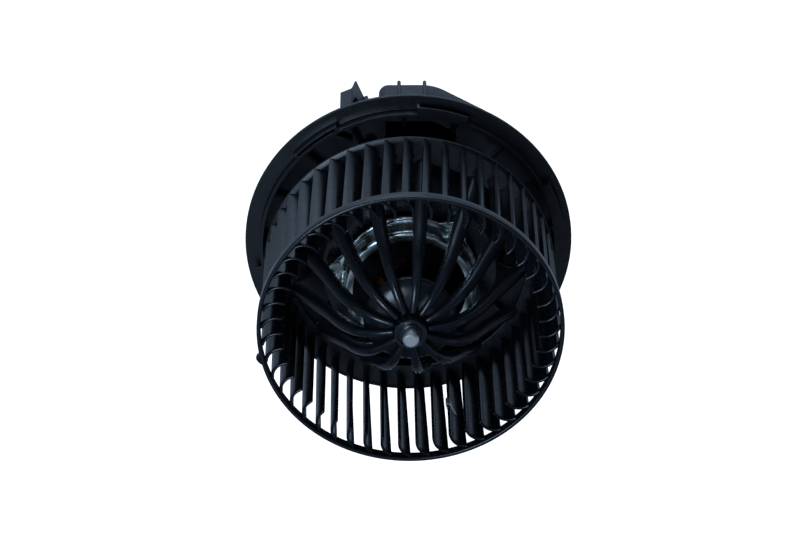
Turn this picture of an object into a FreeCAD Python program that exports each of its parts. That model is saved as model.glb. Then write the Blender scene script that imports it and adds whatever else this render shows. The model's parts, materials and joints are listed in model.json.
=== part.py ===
import FreeCAD, Part
import math
import os
import re
import Sketcher

# Cabin blower: a moulded squirrel-cage wheel on a brushed DC motor, carried by a round twist-lock flange.
# The shaft lies on the Y axis. The air inlet faces -Y and +Z is up. The origin is on the shaft axis,
# in the front plane of the flange rim. Angles run clockwise from the top, as the inlet side sees them.
# Lengths are in millimetres and angles in degrees. A depth "front" is measured towards -Y and a depth
# "back" towards +Y, so both are positive numbers in the table.

DIMENSIONS = (
    # flange
    ("rim_radius", 84.06, "outer radius of the flange rim"),
    ("rim_thickness", 2.0, "thickness of the rim"),
    ("gusset_depth", 6.0, "height of a gusset behind the rim"),
    ("collar_radius", 76.5, "outer radius of the collar"),
    ("collar_wall", 1.8, "thickness of the collar"),
    ("collar_front", 5.7, "collar edge ahead of the rim"),
    ("floor_back", 14.0, "back face of the dish floor"),
    ("floor_wall", 2.0, "thickness of the dish floor"),
    ("pedestal_front", 30.0, "front face of the motor pedestal"),
    ("pedestal_top", 44.0, "pedestal radius at its front"),
    ("pedestal_root", 48.2, "pedestal radius at the dish floor"),
    ("pedestal_wall", 2.0, "thickness of the pedestal"),
    ("pedestal_bore", 34.6, "radius of the hole that the motor passes"),
    ("sleeve_radius", 37.2, "outer radius of the motor sleeve"),
    ("sleeve_bore", 35.2, "inner radius of the motor sleeve"),
    ("dish_rib_count", 16, "ribs on the dish floor"),
    ("dish_rib_start", -47.0, "angle of the first rib"),
    ("dish_rib_width", 1.6, "thickness of a rib"),
    ("rim_rib_count", 36, "gussets behind the rim"),
    ("tab_radius", 80.2, "outer radius of a bayonet tab"),
    ("tab_thickness", 1.4, "thickness of a bayonet tab"),
    ("tab_start", 3.0, "angle where the first tab starts"),
    ("tab_span", 19.0, "angle that a tab covers"),
    ("tab_pitch", 60.0, "angle from one tab to the next"),
    ("tab_stop_span", 1.4, "angle that a tab's end wall covers"),
    ("latch_start", -47.5, "angle where the latch bar starts"),
    ("latch_span", 20.0, "angle that the latch bar covers"),
    ("latch_radius", 78.8, "outer radius of the latch bar"),
    ("latch_wall", 1.0, "thickness of the latch bar"),
    # wheel
    ("wheel_radius", 75.0, "outer radius of the front ring"),
    ("ring_wall", 2.0, "thickness of the front ring"),
    ("ring_front", 90.4, "front edge of the front ring"),
    ("ring_back", 84.9, "back edge of the front ring"),
    ("disc_radius", 73.4, "outer radius of the back disc"),
    ("disc_bore", 59.0, "inner radius of the back disc"),
    ("disc_front", 25.3, "front face of the back disc"),
    ("disc_back", 23.3, "back face of the back disc"),
    ("blade_count", 47, "blades"),
    ("blade_start", 1.0, "angle of the first blade's inner edge"),
    ("blade_inner", 62.4, "radius of a blade's inner edge"),
    ("blade_outer", 73.4, "height of a blade's outer edge"),
    ("blade_thickness", 1.5, "thickness of a blade"),
    ("blade_front", 89.4, "front edge of a blade"),
    ("blade_sweep_front", 5.9, "sideways sweep of a blade at its front"),
    ("blade_sweep_back", 4.2, "sideways sweep of a blade at the back disc"),
    ("wheel_rib_count", 13, "ribs of the hub dome"),
    ("wheel_rib_start", 7.0, "angle of the first rib"),
    ("wheel_rib_root", 2.8, "thickness of a rib at the boss"),
    ("wheel_rib_tip", 6.6, "thickness of a rib at the back disc"),
    ("boss_radius", 8.1, "outer radius of the boss"),
    ("boss_front", 92.0, "front face of the boss"),
    ("boss_back", 66.0, "back face of the boss"),
    ("boss_neck", 6.6, "radius of the boss inside its clamp ring"),
    ("knob_angle", -101.6, "angle of the gate knob on the front ring"),
    # balance clip
    ("clip_blade", 21, "number of the blade that the clip sits on, counted from the first"),
    ("clip_front", 63.5, "front edge of the clip"),
    ("clip_back", 57.5, "back edge of the clip"),
    ("clip_long_leg", 8.0, "length of the clip's leg on the blade's hollow side"),
    ("clip_short_leg", 3.0, "length of the clip's other leg"),
    ("clip_sheet", 0.5, "thickness of the clip's sheet"),
    ("clip_gap", 0.06, "clearance of the clip on the blade"),
    # shaft and boss clamp
    ("shaft_radius", 4.0, "radius of the motor shaft"),
    ("shaft_front", 98.0, "front end of the shaft"),
    ("shaft_back", 36.0, "back end of the shaft"),
    ("shaft_chamfer", 0.8, "chamfer on the shaft's ends"),
    ("running_gap", 0.04, "radial clearance of the shaft in its bearings"),
    # motor
    ("can_radius", 33.2, "outer radius of the motor can"),
    ("can_wall", 1.4, "thickness of the motor can"),
    ("can_front", 49.0, "front edge of the motor can"),
    ("can_back", 26.0, "back edge of the motor can"),
    ("can_mouth", 28.3, "radius of the can's front opening"),
    ("ear_radius", 38.2, "radius that the mounting screws lie on"),
    ("ear_front", 36.9, "front face of the mounting ears"),
    ("ear_thickness", 1.5, "thickness of the mounting ears"),
    ("ear_angle", 40.0, "angle of the first mounting ear"),
    ("ear_boss_front", 33.4, "front face of the bosses that the ears are screwed to"),
    ("screw_radius", 1.5, "radius of a motor screw's shank"),
    ("magnet_wall", 5.9, "thickness of a magnet"),
    ("magnet_front", 34.0, "front end of the magnets"),
    ("magnet_back", 8.0, "back end of the magnets"),
    ("core_radius", 25.3, "radius of the armature core"),
    ("core_front", 28.0, "front end of the armature core"),
    ("core_back", 2.0, "back end of the armature core"),
    ("slot_count", 12, "winding slots"),
    ("commutator_radius", 10.5, "radius of the commutator's bars"),
    ("bearing_width", 8.0, "length of a bearing"),
    ("bearing_radius", 7.4, "radius of a bearing's ball"),
    # brushes
    ("brush_width", 6.0, "brush size across the shaft"),
    ("brush_depth", 7.0, "brush size along the shaft"),
    ("plate_back", 23.6, "back face of the plate that carries the brushes"),
    ("brush_outer", 21.8, "height of a brush's outer end"),
    ("brush_centre", 16.0, "place of the brushes along the shaft"),
    ("holder_outer", 30.4, "height of a brush holder's outer end"),
    ("holder_wall", 0.8, "thickness of a brush holder"),
    ("spring_wire", 0.6, "diameter of a brush spring's wire"),
    ("spring_radius", 2.2, "radius of a brush spring's turns"),
    # rear cover, connector and leads
    ("cover_radius", 49.0, "outer radius of the rear cover"),
    ("cover_wall", 2.0, "thickness of the rear cover"),
    ("cover_back", 45.0, "back face of the rear cover"),
    ("duct_left", 15.0, "left wall of the cooling duct"),
    ("duct_top", 69.5, "top wall of the cooling duct"),
    ("duct_slope", 28.8, "slope of the duct's right shoulder"),
    ("connector_angle", -23.0, "angle of the connector"),
    ("connector_outer", 78.0, "outer end of the connector"),
    ("connector_inner", 58.8, "inner end of the connector"),
    ("connector_back", 33.0, "mouth of the connector"),
    ("lead_radius", 1.3, "radius of an insulated lead"),
    ("lead_height", 31.0, "place of the leads along the shaft where they run to the connector"),
)
ALIASES = {alias for alias, number, note in DIMENSIONS}

doc = FreeCAD.newDocument("cabin_blower")
sheet = doc.addObject("Spreadsheet::Sheet", "Dimensions")
for row, (alias, number, note) in enumerate(DIMENSIONS, start=1):
    sheet.set("A%d" % row, note)
    sheet.set("B%d" % row, str(number))
    sheet.setAlias("B%d" % row, alias)
doc.recompute()

NODES = []


# ---------------------------------------------------------------- helpers

def bound(text):
    """An expression over the sheet, from a formula that names its aliases."""
    return re.sub(r"[a-z][a-z_]*", lambda word: "Dimensions." + word.group(0)
                  if word.group(0) in ALIASES else word.group(0), str(text))


def number(text):
    """The value of a formula over the sheet."""
    result = sheet.evalExpression(bound(text).replace("Dimensions.", ""))
    return float(getattr(result, "Value", result))


def node(label, piece):
    """Names a finished sub-part."""
    piece.Label = label
    NODES.append(piece)
    return piece


def new_body(label):
    return node(label, doc.addObject("PartDesign::Body", label))


def origin_plane(body, role):
    return next(item for item in body.Origin.OriginFeatures if item.Role == role)


def new_sketch(body, role, depth="0", angle="0"):
    """A sketch on one of the body's planes. Depth moves it along its normal and angle turns it about Y."""
    sketch = body.newObject("Sketcher::SketchObject", body.Name + "_sketch")
    sketch.AttachmentSupport = [(origin_plane(body, role), "")]
    sketch.MapMode = "FlatFace"
    turn_axis = {"XY_Plane": FreeCAD.Vector(0, 1, 0), "XZ_Plane": FreeCAD.Vector(0, 0, -1),
                 "YZ_Plane": FreeCAD.Vector(1, 0, 0)}[role]
    turn_from = 90.0 if role == "XY_Plane" else 0.0
    turn = FreeCAD.Rotation(turn_axis, number(angle) - turn_from)
    sketch.AttachmentOffset = FreeCAD.Placement(FreeCAD.Vector(0, 0, 0), turn)
    sketch.setExpression("AttachmentOffset.Base.z", bound(depth))
    return sketch


def fix_point(sketch, geometry, place, across, up):
    """Binds one point of a sketch to two formulas."""
    for kind, text in (("DistanceX", across), ("DistanceY", up)):
        value = number(text)
        if abs(value) < 1e-9:
            sketch.addConstraint(Sketcher.Constraint("PointOnObject", geometry, place,
                                                     -2 if kind == "DistanceX" else -1))
            continue
        index = sketch.addConstraint(Sketcher.Constraint(kind, -1, 1, geometry, place, value))
        sketch.setExpression("Constraints[%d]" % index, bound(text))


def polygon(sketch, points):
    """A closed outline through points, each a pair of formulas."""
    corners = [FreeCAD.Vector(number(across), number(up), 0) for across, up in points]
    first = sketch.GeometryCount
    for index, corner in enumerate(corners):
        sketch.addGeometry(Part.LineSegment(corner, corners[(index + 1) % len(corners)]), False)
    for index, (across, up) in enumerate(points):
        following = (index + 1) % len(points)
        sketch.addConstraint(Sketcher.Constraint("Coincident", first + index, 2, first + following, 1))
        fix_point(sketch, first + index, 1, across, up)
    return sketch


def circle(sketch, radius, across="0", up="0"):
    """A circle whose radius and centre are formulas."""
    middle = FreeCAD.Vector(number(across), number(up), 0)
    shape = Part.Circle(middle, FreeCAD.Vector(0, 0, 1), number(radius))
    geometry = sketch.addGeometry(shape, False)
    index = sketch.addConstraint(Sketcher.Constraint("Radius", geometry, number(radius)))
    sketch.setExpression("Constraints[%d]" % index, bound(radius))
    if number(across) == 0 and number(up) == 0:
        sketch.addConstraint(Sketcher.Constraint("Coincident", geometry, 3, -1, 1))
    else:
        fix_point(sketch, geometry, 3, across, up)
    return sketch


def box_outline(left, right, low, high):
    return [(left, low), (right, low), (right, high), (left, high)]


def turn(body, points, start="90", span="360", cut=False):
    """Turns an outline of (radius, y) corners about the Y axis, from one angle over a span."""
    sketch = polygon(new_sketch(body, "XY_Plane", angle=start), points)
    kind = "PartDesign::Groove" if cut else "PartDesign::Revolution"
    feature = body.newObject(kind, body.Name + "_turn")
    feature.Profile = sketch
    feature.ReferenceAxis = (sketch, ["V_Axis"])
    feature.setExpression("Angle", bound(span))
    doc.recompute()
    return feature


def extrude(body, sketch, length, cut=False, middle=False, backwards=False):
    """Pads or pockets a sketch. A sketch on the XZ plane faces -Y, so backwards means towards +Y."""
    feature = body.newObject("PartDesign::Pocket" if cut else "PartDesign::Pad", body.Name + "_step")
    feature.Profile = sketch
    feature.setExpression("Length", bound(length))
    if middle:
        feature.SideType = "Symmetric"
    feature.Reversed = backwards
    doc.recompute()
    return feature


def slab(body, points, y_front, y_back, angle="0", cut=False):
    """A flat piece between two values of Y, from an outline of (x, z) corners."""
    sketch = polygon(new_sketch(body, "XZ_Plane", "-(%s)" % y_back, angle), points)
    return extrude(body, sketch, "(%s) - (%s)" % (y_back, y_front), cut=cut, backwards=cut)


def disc(body, radius, y_front, y_back, across="0", up="0", cut=False):
    """A round piece between two values of Y."""
    sketch = circle(new_sketch(body, "XZ_Plane", "-(%s)" % y_back), radius, across, up)
    return extrude(body, sketch, "(%s) - (%s)" % (y_back, y_front), cut=cut, backwards=cut)


def fin(body, points, width, angle="0"):
    """A radial rib of one width, from an outline of (y, radius) corners, at an angle about the shaft."""
    sketch = polygon(new_sketch(body, "YZ_Plane", angle=angle), points)
    return extrude(body, sketch, width, middle=True)


def around(body, features, count):
    """Repeats features evenly about the Y axis."""
    pattern = body.newObject("PartDesign::PolarPattern", body.Name + "_around")
    pattern.Originals = features
    pattern.Axis = (next(item for item in body.Origin.OriginFeatures if item.Role == "Y_Axis"), [""])
    pattern.Angle = 360
    pattern.setExpression("Occurrences", bound(count))
    body.Tip = pattern
    doc.recompute()
    return pattern


def rod(name, radius, y_front, y_back, across="0", up="0"):
    """A cylinder along Y between two values of Y."""
    piece = doc.addObject("Part::Cylinder", name)
    piece.setExpression("Radius", bound(radius))
    piece.setExpression("Height", bound("(%s) - (%s)" % (y_back, y_front)))
    piece.Placement.Rotation = FreeCAD.Rotation(FreeCAD.Vector(1, 0, 0), -90)
    piece.setExpression("Placement.Base.x", bound(across))
    piece.setExpression("Placement.Base.y", bound(y_front))
    piece.setExpression("Placement.Base.z", bound(up))
    return piece


def block(name, low, high):
    """A box between two corners."""
    piece = doc.addObject("Part::Box", name)
    for size, base, start, end in zip(("Length", "Width", "Height"), "xyz", low, high):
        piece.setExpression(size, bound("(%s) - (%s)" % (end, start)))
        piece.setExpression("Placement.Base." + base, bound(start))
    return piece


def less(name, base, tool):
    piece = doc.addObject("Part::Cut", name)
    piece.Base = base
    piece.Tool = tool
    return piece


def joined(name, pieces):
    piece = doc.addObject("Part::MultiFuse", name)
    piece.Shapes = pieces
    return piece


def group(name, pieces):
    """Separate solids kept in one sub-part."""
    piece = doc.addObject("Part::Compound", name)
    piece.Links = pieces
    return piece


def tube(name, outer, inner, y_front, y_back, across="0", up="0"):
    return less(name, rod(name + "_outer", outer, y_front, y_back, across, up),
                rod(name + "_inner", inner, y_front, y_back, across, up))


def polar(radius, angle):
    """The x and z formulas of a point at a radius and an angle."""
    return "(%s) * sin(%s)" % (radius, angle), "(%s) * cos(%s)" % (radius, angle)


def rounded(body, radius, wanted):
    """Rounds the edges of the body's last feature that a test accepts."""
    base = body.Tip
    names = ["Edge%d" % (index + 1) for index, edge in enumerate(base.Shape.Edges) if wanted(edge)]
    feature = body.newObject("PartDesign::Fillet", body.Name + "_round")
    feature.Base = (base, names)
    feature.setExpression("Radius", bound(radius))
    doc.recompute()
    return feature


# ---------------------------------------------------------------- wheel

RIB_CREST = ((-87.0, 9.5), (-85.2, 18.0), (-81.0, 26.0), (-74.2, 33.0), (-65.3, 39.0), (-55.0, 44.5),
             (-45.0, 50.4), (-35.0, 56.2), (-25.3, 62.0))
RIB_BACK = ((-25.0, 55.2), (-32.0, 51.4), (-42.0, 45.8), (-51.8, 40.0), (-61.6, 34.8), (-70.2, 29.0),
            (-76.2, 23.0), (-79.4, 16.0), (-80.6, 7.9))


def blade_section(body, depth, sweep):
    """One blade's section: an arc that leaves the inner edge radially and sweeps to one side."""
    sketch = new_sketch(body, "XZ_Plane", depth, "blade_start")
    reach = "(blade_outer - blade_inner)"
    bend = "(2 * atan(%s / %s))" % (sweep, reach)
    radius = "(%s / sin(%s))" % (reach, bend)
    middle = FreeCAD.Vector(-number(radius), number("blade_inner"), 0)
    sides = ("(%s + blade_thickness / 2)" % radius, "(%s - blade_thickness / 2)" % radius)
    for side in sides:
        whole = Part.Circle(middle, FreeCAD.Vector(0, 0, 1), number(side))
        sketch.addGeometry(Part.ArcOfCircle(whole, 0, math.radians(number(bend))), False)
    ends = [(arc.StartPoint, arc.EndPoint) for arc in sketch.Geometry]
    sketch.addGeometry(Part.LineSegment(ends[1][0], ends[0][0]), False)
    sketch.addGeometry(Part.LineSegment(ends[0][1], ends[1][1]), False)
    for pair in ((0, 3, 1, 3), (2, 1, 1, 1), (2, 2, 0, 1), (3, 1, 0, 2), (3, 2, 1, 2)):
        sketch.addConstraint(Sketcher.Constraint("Coincident", *pair))
    fix_point(sketch, 0, 3, "-" + radius, "blade_inner")
    for arc, side in enumerate(sides):
        index = sketch.addConstraint(Sketcher.Constraint("Radius", arc, number(side)))
        sketch.setExpression("Constraints[%d]" % index, bound(side))
        for place, height in ((1, "blade_inner"), (2, "blade_inner + %s * sin(%s)" % (side, bend))):
            constraint = Sketcher.Constraint("DistanceY", -1, 1, arc, place, number(height))
            index = sketch.addConstraint(constraint)
            sketch.setExpression("Constraints[%d]" % index, bound(height))
    return sketch


def make_wheel():
    body = new_body("blower_wheel")
    rib = fin(body, list(RIB_CREST) + list(RIB_BACK), "wheel_rib_tip", "wheel_rib_start")
    tapers = []
    for side in ("-", ""):
        outline = [(side + "wheel_rib_root / 2", "7"), (side + "wheel_rib_tip / 2", "52"),
                   (side + "(wheel_rib_tip / 2 + 0.1)", "52"), (side + "(wheel_rib_tip / 2 + 0.1)", "7")]
        tapers.append(slab(body, outline, "-ring_front", "-disc_back", "wheel_rib_start", cut=True))
    around(body, [rib] + tapers, "wheel_rib_count")
    turn(body, box_outline("disc_bore", "disc_radius", "-disc_front", "-disc_back"))
    turn(body, [("shaft_radius", "-boss_front + 0.2"), ("5.5", "-boss_front + 0.2"),
                ("5.5", "-boss_front + 1"), ("6.6", "-boss_front + 1"), ("6.6", "-boss_front"),
                ("7.6", "-boss_front"),
                ("boss_radius", "-boss_front + 0.5"), ("boss_radius", "-81.6"), ("16", "-80.8"),
                ("22.6", "-77.2"), ("21.6", "-75.4"), ("15.4", "-79"), ("boss_radius", "-79.8"),
                ("boss_radius", "-75"), ("boss_neck", "-74.4"), ("boss_neck", "-boss_back"),
                ("shaft_radius", "-boss_back")])
    loft = body.newObject("PartDesign::AdditiveLoft", "blade")
    front = blade_section(body, "blade_front", "blade_sweep_front")
    back = blade_section(body, "disc_back + 0.2", "blade_sweep_back")
    doc.recompute()
    loft.Profile = front
    loft.Sections = [back]
    loft.Ruled = True
    body.Tip = loft
    doc.recompute()
    around(body, [loft], "blade_count")
    turn(body, box_outline("wheel_radius - ring_wall", "wheel_radius", "-ring_front", "-ring_back"))
    knob = number("knob_angle")
    turn(body, [("wheel_radius - 1", "-ring_front + 0.6"), ("wheel_radius + 1.4", "-ring_front + 0.6"),
                ("wheel_radius + 2.2", "-ring_front + 1.8"), ("wheel_radius + 2.2", "-ring_front + 3.2"),
                ("wheel_radius - 1", "-ring_back - 0.4")], start="%s" % (knob - 2.3), span="4.6")
    return body


def make_shaft():
    body = new_body("motor_shaft")
    turn(body, [("0", "-shaft_front"), ("shaft_radius - shaft_chamfer", "-shaft_front"),
                ("shaft_radius", "-shaft_front + shaft_chamfer"),
                ("shaft_radius", "shaft_back - shaft_chamfer"),
                ("shaft_radius - shaft_chamfer", "shaft_back"), ("0", "shaft_back")])


def make_boss_clamp():
    ring = tube("clamp_ring", "boss_neck + 1.5", "boss_neck", "-73.6", "-68")
    slot = block("clamp_slot", ("-1.2", "-75", "boss_neck - 1"), ("1.2", "-67", "boss_neck + 3"))
    node("boss_clamp_ring", less("boss_clamp_ring", ring, slot))


def make_balance_clip():
    """A folded steel strip pushed over the inner edge of one blade, whose curve its legs follow."""
    body = new_body("balance_clip")
    bend = "(2 * atan(blade_sweep_front / (blade_outer - blade_inner)))"
    radius = "((blade_outer - blade_inner) / sin(%s))" % bend

    def along_blade(offset, reach):
        turned = "(%s / %s * 180 / pi)" % (reach, radius)
        return ("-%s + (%s + %s) * cos(%s)" % (radius, radius, offset, turned),
                "blade_inner + (%s + %s) * sin(%s)" % (radius, offset, turned))

    inner = "(blade_thickness / 2 + clip_gap)"
    outer = "(%s + clip_sheet)" % inner
    short = ["clip_short_leg * %d / 2" % step for step in range(3)]
    long = ["clip_long_leg * %d / 4" % step for step in range(5)]
    outline = [along_blade(inner, step) for step in short]
    outline += [along_blade(outer, step) for step in reversed(short)]
    outline += [(side + outer, "blade_inner - clip_gap - clip_sheet") for side in ("", "-")]
    outline += [along_blade("-" + outer, step) for step in long]
    outline += [along_blade("-" + inner, step) for step in reversed(long)]
    outline += [("-" + inner, "blade_inner - clip_gap"), (inner, "blade_inner - clip_gap")]
    slab(body, outline, "-clip_front", "-clip_back", "blade_start + clip_blade * 360 / blade_count")


# ---------------------------------------------------------------- armature

def make_armature():
    body = new_body("armature_core")
    disc(body, "core_radius", "-core_front", "core_back")
    disc(body, "shaft_radius", "-core_front", "core_back", cut=True)
    slot_outline = [("-1.9", "12.8"), ("1.9", "12.8"), ("3.9", "22.6"), ("0.9", "24"), ("0.9", "26"),
                    ("-0.9", "26"), ("-0.9", "24"), ("-3.9", "22.6")]
    slot = slab(body, slot_outline, "-core_front", "core_back", cut=True)
    around(body, [slot], "slot_count")

    coils = new_body("armature_windings")
    bar = slab(coils, [("-1.7", "13.1"), ("1.7", "13.1"), ("3.5", "22.2"), ("-3.5", "22.2")],
               "-core_front - 0.8", "core_back + 0.8")
    around(coils, [bar], "slot_count")
    turn(coils, [("10.5", "-core_front - 0.8"), ("10.5", "-35.4"), ("13", "-38.4"), ("19.5", "-38.4"),
                 ("22.8", "-35.4"), ("23.2", "-core_front - 0.8")])
    turn(coils, [("10.5", "core_back + 0.8"), ("23.2", "core_back + 0.8"), ("22.4", "7.6"), ("18", "9.6"),
                 ("13", "9.6"), ("10.5", "7.6")])

    sheets = group("insulator_sheets", [
        tube("insulator_front", "24", "shaft_radius", "-core_front - 0.8", "-core_front"),
        tube("insulator_rear", "24", "shaft_radius", "core_back", "core_back + 0.8")])
    node("slot_insulators", less("slot_insulators", sheets, coils))

    hub_radius = "commutator_radius - 2.3"
    node("commutator_hub", tube("commutator_hub", hub_radius, "shaft_radius", "10.4", "21.4"))
    bars = new_body("commutator_bars")
    bar = turn(bars, box_outline(hub_radius, "commutator_radius", "11", "20.8"), start="1",
               span="360 / slot_count - 2")
    around(bars, [bar], "slot_count")

    node("thrust_washers", group("thrust_washers", [
        tube("washer_front", "6.2", "shaft_radius", "-42.3", "-41.5"),
        tube("washer_rear", "6.4", "shaft_radius", "22.6", "23.4")]))


# ---------------------------------------------------------------- motor housing

def make_can():
    body = new_body("motor_can")
    inside = "can_radius - can_wall"
    turn(body, [("can_mouth", "-can_front"), ("can_radius - 3.6", "-can_front"),
                ("can_radius - 1.3", "-can_front + 1.1"), ("can_radius", "-can_front + 3.8"),
                ("can_radius", "can_back"), (inside, "can_back"), (inside, "-can_front + 4.3"),
                ("can_radius - 2.4", "-can_front + 2.2"), ("can_radius - 4.1", "-can_front + can_wall"),
                ("can_mouth", "-can_front + can_wall")])


def ear_places():
    return [polar("ear_radius", "ear_angle + %d" % angle) for angle in (0, 120, 240)]


def make_ear_ring():
    body = new_body("motor_mounting_ring")
    turn(body, box_outline("can_radius", "can_radius + 1.6", "-37.4", "-ear_front + ear_thickness"))
    ear = slab(body, [("-8.6", "can_radius + 0.4"), ("-3.4", "39.8"), ("3.4", "39.8"),
                      ("8.6", "can_radius + 0.4")], "-ear_front", "-ear_front + ear_thickness", "ear_angle")
    around(body, [ear], "3")
    for across, up in ear_places():
        disc(body, "3.6", "-ear_front", "-ear_front + ear_thickness", across, up)
    for across, up in ear_places():
        disc(body, "screw_radius + 0.2", "-ear_front", "-ear_front + ear_thickness", across, up, cut=True)


def screw(name, head_radius, shank_radius, head_front, seat, end, across, up):
    """A screw along Y. It may face either way: the head lies between its front and the seat."""
    low, high = sorted((head_front, seat), key=number)
    shank_low, shank_high = sorted((seat, end), key=number)
    head = rod(name + "_head", head_radius, low, high, across, up)
    recess = rod(name + "_recess", "%s * 0.45" % head_radius,
                 low if number(head_front) < number(seat) else "%s - 0.9" % high,
                 "%s + 0.9" % low if number(head_front) < number(seat) else high, across, up)
    return joined(name, [less(name + "_cap", head, recess),
                         rod(name + "_shank", shank_radius, shank_low, shank_high, across, up)])


def make_motor_fixings():
    screws = []
    bushes = []
    for index, (across, up) in enumerate(ear_places()):
        screws.append(screw("motor_screw_%d" % index, "3.1", "screw_radius", "-ear_front - 2.2",
                            "-ear_front", "-24", across, up))
        bushes.append(tube("motor_bush_%d" % index, "3.4", "screw_radius + 0.2",
                           "-ear_front + ear_thickness", "-ear_boss_front", across, up))
    node("motor_screws", group("motor_screws", screws))
    node("motor_grommets", group("motor_grommets", bushes))
    node("vibration_ring", tube("vibration_ring", "sleeve_bore", "can_radius", "-4", "10"))


def make_front_carrier():
    body = new_body("front_bearing_carrier")
    inside = "can_radius - can_wall"
    turn(body, [("18", "-48.4"), ("can_mouth - 0.1", "-48.4"), ("can_mouth - 0.1", "-46.4"),
                ("29.6", "-45.6"), (inside, "-42.6"), (inside, "-41"), ("18", "-41")])
    spoke = slab(body, box_outline("-1.8", "1.8", "9.6", "19"), "-47", "-42")
    around(body, [spoke], "6")
    turn(body, [("5.6", "-54.4"), ("9.4", "-54.4"), ("10.6", "-53"), ("10.6", "-41"),
                ("bearing_radius", "-41"), ("bearing_radius", "-53"), ("5.6", "-53")])


def bearing(label, middle):
    """A sintered ball bearing bush, self-aligning in its seat."""
    ball = doc.addObject("Part::Sphere", label + "_ball")
    ball.setExpression("Radius", bound("bearing_radius"))
    ball.Placement.Rotation = FreeCAD.Rotation(FreeCAD.Vector(1, 0, 0), -90)
    ball.setExpression("Placement.Base.y", bound(middle))
    trim = rod(label + "_trim", "bearing_radius + 1", "%s - bearing_width / 2" % middle,
               "%s + bearing_width / 2" % middle)
    kept = doc.addObject("Part::Common", label + "_kept")
    kept.Base = ball
    kept.Tool = trim
    hole = rod(label + "_hole", "shaft_radius + running_gap", "%s - bearing_width" % middle,
               "%s + bearing_width" % middle)
    return node(label, less(label, kept, hole))


def make_bearings():
    bearing("front_bearing", "-48.4")
    bearing("rear_bearing", "29")
    body = new_body("front_bearing_retainer")
    turn(body, [("6.6", "-44.8"), ("7.3", "-44.8"), ("7.3", "-41"), ("10.4", "-41"), ("10.4", "-40.4"),
                ("6.6", "-40.4")])
    body = new_body("rear_bearing_retainer")
    turn(body, [("6.6", "25.4"), ("7.3", "25.4"), ("7.3", "24.6"), ("10.4", "24.6"), ("10.4", "24"),
                ("6.6", "24")])


def make_end_plate():
    body = new_body("motor_end_plate")
    turn(body, [("can_radius - can_wall", "24.6"), ("can_radius - can_wall", "can_back"),
                ("12", "can_back"), ("9.4", "28.4"), ("9.4", "37"), ("8", "38.4"), ("0", "38.4"), ("0", "37.2"),
                ("bearing_radius", "37.2"), ("bearing_radius", "24.6")])
    vent = turn(body, box_outline("16", "26", "24", "27"), start="24", span="22", cut=True)
    around(body, [vent], "6")


def make_magnets():
    body = new_body("field_magnets")
    outline = box_outline("can_radius - can_wall - magnet_wall", "can_radius - can_wall", "-magnet_front",
                          "magnet_back")
    magnet = turn(body, outline, start="-64", span="128")
    around(body, [magnet], "2")
    clips = new_body("magnet_springs")
    inside = "can_radius - can_wall"
    bridge = turn(clips, box_outline(inside + " - 0.8", inside, "-30", "4"), start="65", span="50")
    lips = [turn(clips, box_outline(inside + " - 4.6", inside, "-30", "4"), start=start, span="2")
            for start in ("64", "114")]
    around(clips, [bridge] + lips, "2")


PLATE_FRONT = "(brush_centre + brush_depth / 2 + holder_wall + 0.15)"


def make_brush_plate():
    body = new_body("brush_plate")
    disc(body, "can_radius - can_wall", PLATE_FRONT, "plate_back")
    disc(body, "12", PLATE_FRONT, "plate_back", cut=True)


def make_brushes():
    for side, name in ((1, "upper"), (-1, "lower")):
        half_x = "(brush_width / 2)"
        half_y = "(brush_depth / 2)"

        def upright(label, grow, low, high):
            ends = (low, high) if side > 0 else ("-(%s)" % high, "-(%s)" % low)
            half_across = "(%s + %s)" % (half_x, grow)
            half_along = "(%s + %s)" % (half_y, grow)
            return block(label, ("-" + half_across, "brush_centre - " + half_along, ends[0]),
                         (half_across, "brush_centre + " + half_along, ends[1]))

        carbon = upright("carbon_" + name, "0", "9.6", "brush_outer")
        hollow = rod("carbon_face_" + name, "commutator_radius + 0.3", "10", "22")
        node("brush_" + name, less("brush_" + name, carbon, hollow))
        outer = upright("holder_outer_" + name, "0.15 + holder_wall", "12.8", "holder_outer")
        inner = upright("holder_inner_" + name, "0.15", "12", "holder_outer - holder_wall")
        node("brush_holder_" + name, less("brush_holder_" + name, outer, inner))

        gap = "(holder_outer - holder_wall - brush_outer - spring_wire - 0.1)"
        coil = doc.addObject("Part::Helix", "spring_line_" + name)
        coil.setExpression("Radius", bound("spring_radius"))
        coil.setExpression("Height", bound(gap))
        coil.setExpression("Pitch", bound(gap + " / 5"))
        coil.setExpression("Placement.Base.y", bound("brush_centre"))
        base = "brush_outer + spring_wire / 2 + 0.05" if side > 0 else \
            "-(holder_outer - holder_wall - spring_wire / 2 - 0.05)"
        coil.setExpression("Placement.Base.z", bound(base))
        wire = doc.addObject("Part::Circle", "spring_section_" + name)
        wire.setExpression("Radius", bound("spring_wire / 2"))
        wire.Placement.Rotation = FreeCAD.Rotation(FreeCAD.Vector(1, 0, 0), 90)
        wire.setExpression("Placement.Base.x", bound("spring_radius"))
        wire.setExpression("Placement.Base.y", bound("brush_centre"))
        wire.setExpression("Placement.Base.z", bound(base))
        sweep = doc.addObject("Part::Sweep", "brush_spring_" + name)
        sweep.Sections = [wire]
        sweep.Spine = (coil, ["Edge1"])
        sweep.Solid = True
        sweep.Frenet = True
        node("brush_spring_" + name, sweep)


def make_suppression():
    coils = []
    cores = []
    for index, across in enumerate(("-26.5", "26.5")):
        coils.append(tube("choke_coil_%d" % index, "3.1", "1.9", "10.6", "19", across))
        cores.append(rod("choke_core_%d" % index, "1.9", "9.6", PLATE_FRONT, across))
    node("choke_coils", group("choke_coils", coils))
    node("choke_cores", group("choke_cores", cores))
    capacitor = block("suppression_capacitor", ("12.5", "12.6", "15"), ("20.5", PLATE_FRONT, "20"))
    node("suppression_capacitor", capacitor)


# ---------------------------------------------------------------- flange

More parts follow.
